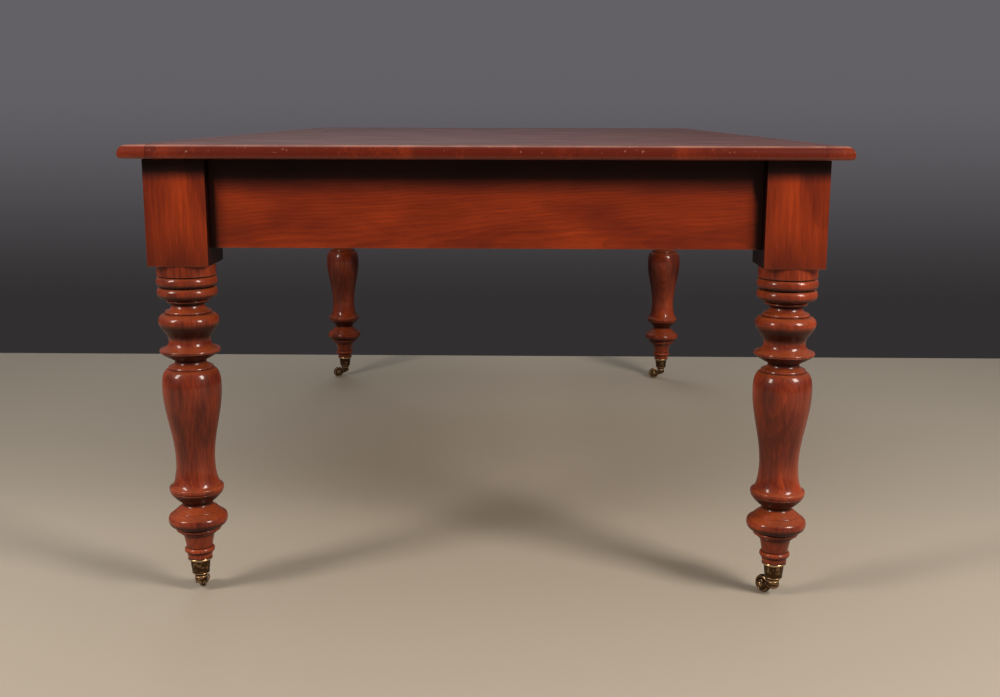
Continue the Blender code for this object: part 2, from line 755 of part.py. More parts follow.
def add_drawers():
    """Three drawers in each long side, counted from the front end."""
    front, body, knob = drawer_front_shape(), drawer_box_shape(), knob_shape()
    for side, x_sign in SIDES:
        turn = 0.0 if x_sign > 0 else math.pi
        for number in range(1, DRAWERS_PER_SIDE + 1):
            place = f"{side}_{number}"
            y = (number - (DRAWERS_PER_SIDE + 1) / 2) * bay_pitch
            slide = new_axis(f"drawer_slide_{place}", (x_sign * frieze_x, y, rail_top), turn)
            add_part(f"drawer_front_{place}", front, "mahogany", parent=slide)
            add_part(f"drawer_box_{place}", body, "oak", parent=slide)
            for letter, (knob_y, knob_z) in zip("ab", knob_places()):
                add_part(f"knob_{place}_{letter}", knob, "mahogany",
                         location=(0.0, knob_y, knob_z), parent=slide)


def add_top():
    """Board, leather and four moulded strips."""
    board = mirrored_box(TOP_WIDTH / 2 - EDGE_WIDTH - CLEARANCE,
                         TOP_LENGTH / 2 - EDGE_WIDTH - CLEARANCE, top_underside, board_top)
    leather = mirrored_box(TOP_WIDTH / 2 - LEATHER_MARGIN - CLEARANCE,
                           TOP_LENGTH / 2 - LEATHER_MARGIN - CLEARANCE,
                           leather_bottom, leather_top)
    add_part("top_board", Shape(board), "mahogany")
    add_part("leather_inset", Shape(leather), "leather")
    for side, x_sign in SIDES:
        add_part(f"top_edge_{side}", side_strip_shape(x_sign), "mahogany")
    for end, y_sign in ENDS:
        add_part(f"top_edge_{end}", end_strip_shape(y_sign), "mahogany")


clear_scene()
table = new_collection("partners_writing_table")
cutters = new_collection("cutters")
add_legs(add_frieze())
add_castors()
add_drawers()
add_top()
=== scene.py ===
"""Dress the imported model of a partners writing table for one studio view.

X runs across the table, Y along it and Z up, in metres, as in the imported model. Front is
the end at -Y, and left is the long side at -X.
"""

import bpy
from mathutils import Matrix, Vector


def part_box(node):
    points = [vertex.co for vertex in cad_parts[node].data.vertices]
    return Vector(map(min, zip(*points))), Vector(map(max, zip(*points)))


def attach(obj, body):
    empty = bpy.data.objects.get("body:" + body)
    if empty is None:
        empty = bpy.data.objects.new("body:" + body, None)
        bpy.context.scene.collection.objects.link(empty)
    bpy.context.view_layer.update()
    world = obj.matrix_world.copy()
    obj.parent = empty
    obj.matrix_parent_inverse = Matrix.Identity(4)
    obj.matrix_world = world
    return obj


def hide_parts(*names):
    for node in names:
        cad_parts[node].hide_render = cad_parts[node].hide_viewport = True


bl_info = {
    "name": "Partners Writing Table",
    "version": (1, 0, 0),
    "blender": (4, 5, 0),
    "location": "View3D > Sidebar > Writing Table",
    "description": "Turned legs, brass castors, moulded top and drawers of a writing table",
    "category": "Object",
}

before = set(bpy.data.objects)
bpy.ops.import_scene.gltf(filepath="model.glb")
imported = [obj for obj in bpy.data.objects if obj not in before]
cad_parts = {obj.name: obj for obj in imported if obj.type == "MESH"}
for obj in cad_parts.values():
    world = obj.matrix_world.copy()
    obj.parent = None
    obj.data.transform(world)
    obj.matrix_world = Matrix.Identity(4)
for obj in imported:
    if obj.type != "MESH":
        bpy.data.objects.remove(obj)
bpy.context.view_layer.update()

import math

import bmesh
import bpy
from mathutils import Matrix, Vector

MM = 0.001
# Sign of each end along Y and of each long side along X
ENDS = {"front": -1, "back": 1}
SIDES = {"left": -1, "right": 1}
PLACES = [f"{end}_{side}" for end in ENDS for side in SIDES]
DRAWERS = [f"{side}_{number}" for side in SIDES for number in (1, 2, 3)]
# Gap at a joint that shows, and how far apart two places may be to count as one
FIT = 0.3 * MM
CLOSE = 0.01 * MM
# Turn between two faces that makes the edge between them a sharp one
SHARP_TURN = math.radians(40)
# Tips Y up to Z, and Z down to -Y
TIPPED = Matrix.Rotation(math.pi / 2, 4, "X")
# Height of the foot of a leg's square block, in mm
BLOCK_FOOT = 566.7

# Turning of a leg, downwards: curve, height above the floor, radius and bulge, in mm
LEG_TURNING = (
    ("start", 576.0, 0.0, 0.0),
    ("line", 576.0, 47.8, 0.0),
    ("line", 548.6, 47.8, 0.0),
    ("line", 546.6, 45.0, 0.0),
    ("bow", 530.6, 45.0, 4.3),
    ("line", 528.4, 44.0, 0.0),
    ("bow", 511.5, 43.0, 5.4),
    ("line", 508.0, 33.0, 0.0),
    ("bow", 503.0, 31.5, 2.4),
    ("line", 501.0, 26.2, 0.0),
    ("flare", 490.0, 36.5, 0.0),
    ("bow", 485.5, 37.0, 1.0),
    ("line", 484.5, 38.8, 0.0),
    ("swell", 473.0, 49.2, 0.0),
    ("ease", 440.0, 33.8, 0.0),
    ("flare", 426.0, 48.6, 0.0),
    ("line", 424.0, 49.3, 0.0),
    ("line", 422.0, 49.0, 0.0),
    ("bow", 408.5, 27.5, 3.0),
    ("line", 405.0, 25.4, 0.0),
    ("flare", 397.0, 35.2, 0.0),
    ("bow", 392.5, 36.5, 0.8),
    ("line", 392.0, 37.5, 0.0),
    ("swell", 362.0, 48.4, 0.0),
    ("ease", 234.0, 32.2, 0.0),
    ("flare", 190.0, 43.6, 0.0),
    ("bow", 181.5, 43.2, 1.6),
    ("bow", 163.3, 27.0, 3.2),
    ("line", 158.8, 24.8, 0.0),
    ("line", 156.4, 26.0, 0.0),
    ("line", 146.8, 37.4, 0.0),
    ("line", 146.0, 36.9, 0.0),
    ("line", 145.3, 39.0, 0.0),
    ("line", 140.6, 44.0, 0.0),
    ("swell", 132.0, 49.3, 0.0),
    ("round", 119.8, 39.5, 0.0),
    ("line", 117.6, 36.6, 0.0),
    ("bow", 111.8, 36.0, 1.7),
    ("line", 110.4, 28.6, 0.0),
    ("swell", 108.4, 31.0, 0.0),
    ("bow", 106.6, 29.4, 0.4),
    ("swell", 102.6, 25.8, 0.0),
    ("bow", 81.0, 21.6, -0.3),
    ("bow", 71.5, 21.3, 3.9),
    ("line", 62.3, 20.4, 0.0),
    ("line", 62.0, 11.5, 0.0),
    ("line", 45.2, 11.5, 0.0),
    ("line", 45.2, 0.0, 0.0),
)

# Cup of a castor, from the floor of its socket round the flange to the bore of the stem
CUP_TURNING = (
    ("start", 44.9, 0.0, 0.0),
    ("line", 44.9, 11.8, 0.0),
    ("line", 61.6, 11.8, 0.0),
    ("line", 61.6, 19.7, 0.0),
    ("swell", 59.9, 20.8, 0.0),
    ("round", 58.2, 19.6, 0.0),
    ("line", 57.9, 17.8, 0.0),
    ("flare", 56.6, 17.0, 0.0),
    ("line", 35.0, 14.5, 0.0),
    ("bow", 33.6, 14.4, 0.5),
    ("swell", 28.1, 10.6, 0.0),
    ("line", 28.1, 4.3, 0.0),
    ("line", 38.5, 4.3, 0.0),
    ("line", 38.5, 0.0, 0.0),
)

# Horn's stem and boss
HORN_TURNING = (
    ("start", 38.2, 0.0, 0.0),
    ("line", 38.2, 4.0, 0.0),
    ("line", 27.8, 4.0, 0.0),
    ("line", 27.8, 9.6, 0.0),
    ("swell", 26.9, 10.4, 0.0),
    ("line", 19.0, 10.4, 0.0),
    ("round", 12.6, 0.0, 0.0),
)

# Half of the wheel about its axle: half-width and radius, from the bore to mid tread
WHEEL_SIDE = (
    ("start", 6.5, 2.8, 0.0),
    ("line", 6.5, 5.6, 0.0),
    ("swell", 5.7, 6.8, 0.0),
    ("line", 4.0, 7.4, 0.0),
    ("bow", 4.3, 11.0, 0.0),
    ("line", 5.0, 11.6, 0.0),
    ("bow", 5.0, 13.2, 0.0),
    ("swell", 0.0, 15.2, 0.0),
)

# End of an axle, from the middle of its rivet's head to the shank
RIVET_HEAD = (
    ("start", 11.5, 0.0, 0.0),
    ("swell", 10.1, 4.0, 0.0),
    ("line", 10.0, 2.5, 0.0),
)

# Turned knob, from the middle of its crown to the end of its spigot
KNOB_TURNING = (
    ("start", 28.3, 0.0, 0.0),
    ("line", 28.2, 5.2, 0.0),
    ("line", 27.6, 5.6, 0.0),
    ("line", 27.8, 6.2, 0.0),
    ("swell", 20.4, 17.0, 0.0),
    ("round", 12.6, 9.2, 0.0),
    ("line", 11.6, 8.2, 0.0),
    ("bow", 4.4, 8.6, -1.4),
    ("line", 4.0, 10.0, 0.0),
    ("bow", 0.3, 10.4, 0.5),
    ("line", 0.3, 6.0, 0.0),
    ("line", -18.0, 6.0, 0.0),
    ("line", -18.0, 0.0, 0.0),
)

# Corners of a dovetail: how deep into the drawer's front, and how high, in mm
TAIL = ((0.0, -7.5), (0.0, 7.5), (13.0, 10.5), (13.0, -10.5))

# Joints in the front moulding, in metres from the middle, and the tone of each length
FRONT_JOINTS = (0.051, 0.141)
FRONT_TONES = (-0.6, -0.35, -0.6)

# Turns of a log's Z axis to the way of the grain, a little askew as in any sawn board
GRAIN_TURNS = {
    "X": (0.0, math.radians(88.0), math.radians(2.2)),
    "Y": (math.radians(-88.4), 0.0, math.radians(1.5)),
    "Z": (0.02, -0.015, 0.0),
    "across": (math.radians(-48.0), math.radians(14.0), 0.0),
}


def linear(hex_value):
    """Linear colour of an sRGB hex value, with alpha."""
    channels = [int(hex_value[i:i + 2], 16) / 255 for i in (0, 2, 4)]
    return (*[c / 12.92 if c <= 0.04045 else ((c + 0.055) / 1.055) ** 2.4 for c in channels],
            1.0)


def colour(name, description, hex_value):
    """A colour property of the add-on."""
    return bpy.props.FloatVectorProperty(name=name, description=description, subtype="COLOR",
                                         size=4, min=0.0, max=1.0, default=linear(hex_value))


def length(name, description, millimetres):
    """A length property of the add-on."""
    return bpy.props.FloatProperty(name=name, description=description, subtype="DISTANCE",
                                   unit="LENGTH", min=0.0, default=millimetres * MM)


class WritingTableColours(bpy.types.PropertyGroup):
    """Colours of the table and of the stage"""

    mahogany_dark: colour("Mahogany dark", "Dark streaks of the flat mahogany", "571603")
    mahogany_light: colour("Mahogany light", "Light streaks of the flat mahogany", "96340b")
    turned_dark: colour("Turned dark", "Dark streaks of the turned mahogany", "4a1206")
    turned_light: colour("Turned light", "Light streaks of the turned mahogany", "a5411c")
    # Painted light: turned surfaces that face up are lightened to this orange
    faded: colour("Faded wood", "Turned mahogany that the light has faded", "984b2a")
    # Painted shade in hollows and in the bands that the top and the legs shadow; in the
    # turnings' quirks it is also old wax
    hollow: colour("Hollows", "Old wax and dirt in the hollows", "0e0402")
    # Also the painted reflection along the upper curve of the top's moulding, over some real
    # wear
    worn: colour("Worn edges", "Mahogany where the polish has worn", "b98470")
    hide: colour("Hide", "Dyed hide of the top", "5c3430")
    hide_worn: colour("Worn hide", "Hide where it has faded", "764842")
    oak: colour("Oak", "Drawer linings and runners", "a8834f")
    oak_dark: colour("Oak grain", "Pores and rays of the oak", "7a5930")
    brass: colour("Brass", "Polished brass", "d2ae84")
    patina: colour("Patina", "Browned brass", "44301f")
    floor: colour("Floor", "Plain floor", "aea597")
    backdrop: colour("Backdrop", "Studio wall beyond the floor", "646166")
    # Painted shade of the studio wall near the floor, where the lamps don't reach
    backdrop_foot: colour("Backdrop foot", "Studio wall near the floor", "322f30")


class WritingTableSizes(bpy.types.PropertyGroup):
    """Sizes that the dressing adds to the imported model"""

    ease: length("Eased edges", "Radius of the sanded edges of flat boards", 1.2)
    wear: length("Wear", "Width of the band that wears beside an edge", 5.0)
    # Painted shadow of the top's overhang on the legs' blocks
    painted_overhang_on_blocks: length("Old wax on blocks", "Dark band below the top on the legs", 44.0)
    # Painted shade, lighter, over the foot of each leg's block
    painted_foot_shade: length("Old wax on feet", "Dull band at the foot of a leg's block", 50.0)
    # Painted shadow of the top's overhang on the aprons
    painted_overhang_on_aprons: length("Old wax on aprons", "Dark band below the top on the aprons", 70.0)
    # Painted shadow of the legs' blocks on the ends of the aprons
    painted_leg_shadow_on_aprons: length("Old wax in corners", "Dark band on an apron beside a leg", 20.0)
    floor: length("Floor", "Half of the width of the studio's floor", 14000.0)
    wall: length("Wall", "From the table's middle to the studio's wall", 1180.0)
    wall_height: length("Wall height", "Height of the studio's wall", 9000.0)
    nick: length("Nicks", "Spacing of the knocks in the moulding", 6.0)
    thumb: length("Thumb moulding", "Radius of the top's moulded edge", 13.0)
    under: length("Under edge", "Radius below the top's moulded edge", 6.0)
    softening: length("Softening", "How far polish softens a turned corner", 0.7)
    pore: length("Pores", "Width of the drawn pores of the mahogany", 1.4)
    ribbon: length("Ribbon", "Width of the streaks of the mahogany", 5.0)
    patch: length("Patches", "Width of the mahogany's light and dark patches", 60.0)
    ring: length("Rings", "Spacing of the mahogany's growth rings", 4.5)
    grain: length("Hide grain", "Width of the drawn grain of the hide", 2.4)


def settings():
    """Sizes and colours of the add-on."""
    scene = bpy.context.scene
    return scene.writing_table_sizes, scene.writing_table_colours


# Node helpers

def feed(tree, node, sockets):
    """Give each socket of a node its value, or link the output that feeds it."""
    for key, value in sockets.items():
        if isinstance(value, bpy.types.NodeSocket):
            tree.links.new(value, node.inputs[key])
        else:
            node.inputs[key].default_value = value


def add_node(tree, kind, sockets, output=0, **options):
    """Add a node with its options, feed its sockets and return one of its outputs."""
    node = tree.nodes.new("ShaderNode" + kind)
    for name, value in options.items():
        setattr(node, name, value)
    feed(tree, node, sockets)
    return node.outputs[output]


def new_material(name):
    """An empty node material, its tree and its Principled shader."""
    material = bpy.data.materials.new(name)
    material.use_nodes = True
    return material, material.node_tree, material.node_tree.nodes["Principled BSDF"]


# Materials

def sawn_from(tree, grain, heart):
    """Places in the log that a board came from. The log's Z runs along the grain, and its
    rings lie round the heart."""
    return add_node(tree, "Mapping", {
        "Vector": add_node(tree, "TexCoord", {}, "Object"), "Rotation": GRAIN_TURNS[grain],
        "Location": heart}, vector_type="TEXTURE")


def along_grain(tree, log, shrink, scale, detail, roughness=0.5, distortion=0.0):
    """Noise that is drawn out along the grain of a log."""
    drawn = add_node(tree, "Mapping", {"Vector": log, "Scale": (1.0, 1.0, shrink)})
    return add_node(tree, "TexNoise", {
        "Vector": drawn, "Scale": scale, "Detail": detail, "Roughness": roughness,
        "Distortion": distortion})


def mahogany(name, grain, shade="mahogany", polished=True, heart=(0.0, 0.0, 0.0), tone=0.0,
             rings=0.4, coat=0.7, dull=0.0, contrast=1.0, wear=0.15, aged=0.0, nicks=0.0):
    """Mahogany, planed or turned. French polish gives it a clear coat over fine streaks."""
    sizes, colours = settings()
    dark, light = getattr(colours, f"{shade}_dark"), getattr(colours, f"{shade}_light")
    material, tree, shader = new_material(name)
    log = sawn_from(tree, grain, heart)
    # Mahogany's pores are 0.2 mm wide, which is too fine to show, so they are drawn wider
    pores = along_grain(tree, log, 0.035, 1 / sizes.pore, 2.0, 0.6)
    ribbon = along_grain(tree, log, 0.05, 1 / sizes.ribbon, 3.0, 0.6, 0.15)
    patches = along_grain(tree, log, 0.4, 1 / sizes.patch, 2.0, 0.45, 0.3)
    growth = add_node(tree, "TexWave", {
        "Vector": log, "Scale": 0.314 / sizes.ring, "Distortion": 12.0, "Detail": 3.0,
        "Detail Scale": 0.1, "Detail Roughness": 0.5,
    }, "Fac", wave_type="RINGS", rings_direction="Z", wave_profile="SAW")
    streaks = add_node(tree, "Math", {0: ribbon, 1: 0.3}, operation="MULTIPLY")
    streaks = add_node(tree, "Math", {0: patches, 1: 0.7, 2: streaks},
                       operation="MULTIPLY_ADD")
    spread = 0.22 / contrast
    share = add_node(tree, "MapRange", {
        "Value": streaks, "From Min": 0.5 - spread, "From Max": 0.5 + spread,
        "To Min": tone, "To Max": 1.0 + tone})
    wood = add_node(tree, "Mix", {0: share, 6: dark, 7: light}, 2, data_type="RGBA")

    relief = add_node(tree, "Attribute", {}, "Fac", attribute_name="relief")
    # Layers over the streaks: what each follows, where it starts and where it is full,
    # its full share, what else limits it, and its colour
    layers = [(growth, 0.2, 1.0, rings, 1.0, dark), (pores, 0.5, 0.72, 0.5, 1.0, dark),
              # Painted shade where the relief is low: the turnings' quirks, which also hold old
              # wax, and the marked shadow bands
              (relief, -0.3, -1.0, 0.95, 1.0, colours.hollow),
              # Worn edges, and on the moulding's upper curve a painted reflection
              (relief, 0.55, 1.0, wear, patches, colours.worn)]
    if nicks:
        # Knocks at the edge have bared pale wood
        place = add_node(tree, "TexCoord", {}, "Object")
        knocks = add_node(tree, "TexNoise", {
            "Vector": place, "Scale": 1 / sizes.nick, "Detail": 1.0})
        rim = add_node(tree, "MapRange", {"Value": relief, "From Min": 0.4, "From Max": 0.55})
        layers.append((knocks, 0.71, 0.75, nicks, rim, colours.worn))
    if aged:
        # Painted light and shade: what faces up is lightened to orange, and what faces down is
        # darkened
        way = add_node(tree, "NewGeometry", {}, "Normal")
        way = add_node(tree, "SeparateXYZ", {"Vector": way}, "Z")
        layers += [(way, 0.3, 0.9, 0.5 * aged, 1.0, colours.faded),
                   (way, 0.0, -0.5, 0.85 * aged, 1.0, colours.hollow)]
    for signal, start, full, most, limit, added in layers:
        share = add_node(tree, "MapRange", {
            "Value": signal, "From Min": start, "From Max": full, "To Max": most})
        share = add_node(tree, "Math", {0: share, 1: limit}, operation="MULTIPLY")
        wood = add_node(tree, "Mix", {0: share, 6: wood, 7: added}, 2, data_type="RGBA")
    feed(tree, shader, {"Base Color": wood, "IOR": 1.5})

    height, depth = (patches, 0.0003) if polished else (pores, 0.0002)
    bump = add_node(tree, "Bump", {"Height": height, "Strength": 0.5, "Distance": depth})
    feed(tree, shader, {"Normal": bump, "Roughness": 0.42 if polished else 0.62})
    if polished:
        # Polish fills the pores: only a faint waviness is left in the surface
        film = 1.0
        if aged:
            # The last layer, the painted shade on what faces down, thins the coat as far as it
            # darkens
            film = add_node(tree, "Math", {0: share, 1: -0.85, 2: 1.0},
                            operation="MULTIPLY_ADD")
        for start, full, least, most in ((-1.0, -0.6, 0.05, coat), (0.1, 0.5, 1.0, 1.0 - dull)):
            kept = add_node(tree, "MapRange", {
                "Value": relief, "From Min": start, "From Max": full, "To Min": least,
                "To Max": most})
            film = add_node(tree, "Math", {0: film, 1: kept}, operation="MULTIPLY")
        feed(tree, shader, {"Specular IOR Level": 0.15, "Coat Roughness": 0.07,
                            "Coat Weight": film, "Coat Normal": bump})
    return material


def planed_oak(name, grain, heart=(0.0, 0.0, 0.0)):
    """Oak, planed and left bare, so it is matt with open pores."""
    _, colours = settings()
    material, tree, shader = new_material(name)
    log = sawn_from(tree, grain, heart)
    bands = along_grain(tree, log, 0.06, 70.0, 3.0, distortion=0.8)
    # Oak's pores are 0.3 mm wide and are drawn 1.6 mm wide, so that they show
    pores = along_grain(tree, log, 0.03, 620.0, 2.0)
    wood = colours.oak
    for signal, start, full in ((bands, 0.4, 0.62), (pores, 0.58, 0.7)):
        share = add_node(tree, "MapRange", {
            "Value": signal, "From Min": start, "From Max": full, "To Max": 0.6})
        wood = add_node(tree, "Mix", {0: share, 6: wood, 7: colours.oak_dark}, 2,
                        data_type="RGBA")
    bump = add_node(tree, "Bump", {"Height": pores, "Strength": 0.5, "Distance": 0.0002},
                    invert=True)
    feed(tree, shader, {"Base Color": wood, "Roughness": 0.6, "IOR": 1.5, "Normal": bump})
    return material


def waxed_hide(name):
    """Dyed hide, glued flat and waxed, so it has fine pebbles and a soft sheen."""
    sizes, colours = settings()
    material, tree, shader = new_material(name)
    place = add_node(tree, "TexCoord", {}, "Object")
    # The pebbles are about 0.8 mm wide and are drawn wider, so that they show
    pebbles = add_node(tree, "TexVoronoi", {
        "Vector": place, "Scale": 1 / sizes.grain, "Randomness": 1.0}, "Distance")
    clouds = add_node(tree, "TexNoise", {
        "Vector": place, "Scale": 9.0, "Detail": 4.0, "Roughness": 0.55})
    hide = colours.hide
    # Faded clouds of hide, and painted shade in the creases between the pebbles
    for signal, start, full, most, added in ((clouds, 0.42, 0.7, 0.8, colours.hide_worn),
                                             (pebbles, 0.45, 0.8, 0.5, colours.hollow)):
        share = add_node(tree, "MapRange", {
            "Value": signal, "From Min": start, "From Max": full, "To Max": most})
        hide = add_node(tree, "Mix", {0: share, 6: hide, 7: added}, 2, data_type="RGBA")
    shine = add_node(tree, "MapRange", {
        "Value": clouds, "From Min": 0.35, "From Max": 0.7, "To Min": 0.56, "To Max": 0.48})
    bump = add_node(tree, "Bump", {"Height": pebbles, "Strength": 0.12, "Distance": 0.0002},
                    invert=True)
    feed(tree, shader, {"Base Color": hide, "Roughness": shine, "IOR": 1.5, "Normal": bump})
    return material


def cast_brass(name, bright=0.0):
    """Cast brass, lacquered and browned with age, and bright where hands and feet rub it."""
    _, colours = settings()
    material, tree, shader = new_material(name)
    place = add_node(tree, "TexCoord", {}, "Object")
    spots = add_node(tree, "TexNoise", {
        "Vector": place, "Scale": 160.0, "Detail": 4.0, "Roughness": 0.6})
    relief = add_node(tree, "Attribute", {}, "Fac", attribute_name="relief")
    rubbed = add_node(tree, "Math", {0: relief, 1: 0.55, 2: spots}, operation="MULTIPLY_ADD")
    clean = add_node(tree, "MapRange", {
        "Value": rubbed, "From Min": 0.5, "From Max": 0.95, "To Min": bright})
    metal = add_node(tree, "Mix", {0: clean, 6: colours.patina, 7: colours.brass}, 2,
                     data_type="RGBA")
    shine = add_node(tree, "MapRange", {"Value": clean, "To Min": 0.48, "To Max": 0.24})
    grit = add_node(tree, "TexNoise", {"Vector": place, "Scale": 900.0, "Detail": 2.0})
    bump = add_node(tree, "Bump", {"Height": grit, "Strength": 0.25, "Distance": 0.0001})
    feed(tree, shader, {"Base Color": metal, "Roughness": shine, "Metallic": 1.0,
                        "Normal": bump})
    return material


def finish(name, maker, *details, **options):
    """The material of a name, made the first time that it is asked for."""
    return bpy.data.materials.get(name) or maker(name, *details, **options)


def french_polished(part, grain, **options):
    """French polished mahogany for a part, sawn one of the ways of GRAIN_TURNS."""
    return finish(f"french_polished_{part}", mahogany, grain, **options)


def inner_mahogany(grain):
    """Planed mahogany of the boards that don't show."""
    return finish(f"planed_mahogany_{grain.lower()}", mahogany, grain, polished=False,
                  heart=(0.3, 0.2, 0.4))


# Mesh helpers

# Share of a band of painted shadow that is at its darkest
DARKEST_SHARE = 0.42
# Brings the relief of a full bead to about 1
RELIEF_GAIN = 2.2

# Ways from one point of a turning to the next: shares of the step across and down
CURVES = {
    "line": lambda t: (t, t),
    "ease": lambda t: ((1 - math.cos(math.pi * t)) / 2, t),
    "swell": lambda t: (math.sin(math.pi * t / 2), 1 - math.cos(math.pi * t / 2)),
    "round": lambda t: (1 - math.cos(math.pi * t / 2), math.sin(math.pi * t / 2)),
    "flare": lambda t: (1 - math.cos(math.pi * t / 2), math.sin(math.pi * t / 2)),
    "bow": lambda t: ((1 - math.cos(math.pi * t)) / 2, (1 - math.cos(math.pi * t)) / 2),
}


def profile_of(rows, step=1.4):
    """Points (radius, height) in mm along the rows of a turning, which start at the first."""
    points = [Vector((rows[0][2], rows[0][1]))]
    for kind, height, radius, bulge in rows[1:]:
        first, last = points[-1], Vector((radius, height))
        count = 1 if kind == "line" else max(4, math.ceil((last - first).length / step))
        for number in range(1, count + 1):
            t = number / count
            across, down = CURVES[kind](t)
            points.append(Vector((
                first.x + (last.x - first.x) * across + bulge * math.sin(math.pi * t),
                first.y + (last.y - first.y) * down,
            )))
    return points


def mirrored(points):
    """A profile in reverse, on the other side of height 0."""
    return [Vector((point.x, -point.y)) for point in reversed(points)]


def softened(points, radius):
    """Round each corner of a profile, as sanding and polish do."""
    result = [points[0]]
    for before, here, after in zip(points, points[1:], points[2:]):
        back, on = before - here, after - here
        if back.length < 1e-6 or on.length < 1e-6:
            continue
        if (-back).angle(on) < math.radians(20):
            # A gentle bend stays as it is
            result.append(here)
            continue
        start = here + back.normalized() * min(radius, 0.45 * back.length)
        end = here + on.normalized() * min(radius, 0.45 * on.length)
        result += [start, (start + 2 * here + end) / 4, end]
    return result + [points[-1]]


def spaced(points, reach):
    """Points of a profile, with more beside the ends of each long straight part."""
    result = [points[0]]
    for first, last in zip(points, points[1:]):
        share = reach / max((last - first).length, reach)
        if share < 0.4:
            result += [first.lerp(last, share), first.lerp(last, 1 - share)]
        result.append(last)
    return result


def relief_along(points, reach):
    """How far each point of a profile stands proud of or below its neighbours, -1 to 1."""
    lengths = [0.0]
    for first, second in zip(points, points[1:]):
        lengths.append(lengths[-1] + (second - first).length)

    def at(distance):
        distance = min(max(distance, 0.0), lengths[-1])
        for number, end in enumerate(lengths[1:]):
            if distance <= end:
                start = lengths[number]
                share = (distance - start) / (end - start) if end > start else 0.0
                return points[number].lerp(points[number + 1], share)
        return points[-1]

    reliefs = []
    for here, distance in zip(points, lengths):
        before, after = at(distance - reach), at(distance + reach)
        along = after - before
        outward = Vector((-along.y, along.x)).normalized()
        hollow = outward.dot((before + after) / 2 - here) / reach
        reliefs.append(min(max(-RELIEF_GAIN * hollow, -1.0), 1.0))
    return reliefs


def turned(points, segments, reach=3.0):
    """Body of revolution about Z from a profile in mm, with its relief marked."""
    bm = bmesh.new()
    layer = bm.verts.layers.float.new("relief")
    rings = []
    points = spaced(points, reach)
    for point, relief in zip(points, relief_along(points, reach)):
        count = segments if point.x > 1e-4 else 1
        ring = []
        for number in range(count):
            angle = 2 * math.pi * number / segments
            vertex = bm.verts.new((point.x * MM * math.cos(angle),
                                   point.x * MM * math.sin(angle), point.y * MM))
            vertex[layer] = relief
            ring.append(vertex)
        rings.append(ring)
    pairs = list(zip(rings, rings[1:]))
    if len(rings[0]) > 1:
        # A profile that starts off the axis closes on itself
        pairs.append((rings[-1], rings[0]))
    for upper, lower in pairs:
        for number in range(segments):
            following = (number + 1) % segments
            corners = [upper[number % len(upper)], lower[number % len(lower)],
                       lower[following % len(lower)], upper[following % len(upper)]]
            corners = list(dict.fromkeys(corners))
            if len(corners) > 2:
                bm.faces.new(corners)
    return smooth_mesh(bm)


def rod(radius, half, segments):
    """A cylinder about Z, in mm, that reaches as far down as up."""
    corners = ((0.0, half), (radius, half), (radius, -half), (0.0, -half))
    return turned([Vector(corner) for corner in corners], segments)


def smooth_mesh(bm):
    """Mesh data with outward normals and smooth shading."""
    bmesh.ops.recalc_face_normals(bm, faces=bm.faces)
    mesh = bpy.data.meshes.new("shape")
    bm.to_mesh(mesh)
    bm.free()
    mesh.shade_smooth()
    return mesh


def plain_box(low, high):
    """A box between two corners, still to be shaped."""
    bm = bmesh.new()
    bmesh.ops.create_cube(bm, size=1.0)
    bmesh.ops.scale(bm, vec=high - low, verts=bm.verts)
    bmesh.ops.translate(bm, vec=(low + high) / 2, verts=bm.verts)
    return bm


def eased_board(low, high, ease=None, slot=0, overhang_shadow_depth=0.0, leg_shadow_depth=0.0):
    """A board with sanded edges. The band beside each edge is marked as worn. The band under
    the top and the bands beside the legs, as deep as given, are marked as hollows, which
    paints into them the shadows of the top's overhang and of the legs' blocks."""
    sizes, _ = settings()
    low, high = Vector(low), Vector(high)
    radius = min(sizes.ease if ease is None else ease, min(high - low) * 0.3)
    bm = plain_box(low, high)
    bmesh.ops.bevel(bm, geom=bm.edges[:], offset=radius, segments=3, profile=0.5,
                    affect="EDGES")
    layer = bm.verts.layers.float.new("relief")
    for vertex in bm.verts:
        vertex[layer] = 1.0
    for face in sorted(bm.faces, key=lambda face: -face.calc_area())[:6]:
        narrow = min(edge.calc_length() for edge in face.edges)
        bmesh.ops.inset_individual(bm, faces=[face], thickness=min(sizes.wear, narrow * 0.3))
        for vertex in face.verts:
            vertex[layer] = 0.0
    for face in bm.faces:
        face.material_index = slot
    # Painted shadows: at each end beside a leg's block, and under the top's overhang
    for axis, start, depth in ((0, low.x, leg_shadow_depth), (0, high.x, -leg_shadow_depth),
                               (2, high.z, -overhang_shadow_depth)):
        if not depth:
            continue
        for share in (DARKEST_SHARE, 1.0):
            cut, normal = Vector((0.0, 0.0, 0.0)), Vector((0.0, 0.0, 0.0))
            cut[axis], normal[axis] = start + share * depth, 1.0
            bmesh.ops.bisect_plane(bm, geom=bm.verts[:] + bm.edges[:] + bm.faces[:],
                                   plane_co=cut, plane_no=normal)
        for vertex in bm.verts:
            reached = (vertex.co[axis] - start) / depth
            if reached < DARKEST_SHARE + 0.01:
                vertex[layer] = -1.0
            elif reached < 1.01 and vertex[layer] > 0.0:
                vertex[layer] = 0.0
    return smooth_mesh(bm)


def prism(outline, low, high):
    """A flat outline (x, y), raised from one height to another."""
    bm = bmesh.new()
    bottom = [bm.verts.new((x, y, low)) for x, y in outline]
    face = bm.faces.new(bottom)
    raised = bmesh.ops.extrude_face_region(bm, geom=[face])["geom"]
    moved = [item for item in raised if isinstance(item, bmesh.types.BMVert)]
    bmesh.ops.translate(bm, vec=(0.0, 0.0, high - low), verts=moved)
    return smooth_mesh(bm)


def placed(mesh, matrix):
    """A copy of a mesh, moved."""
    copy = mesh.copy()
    copy.transform(matrix)
    return copy


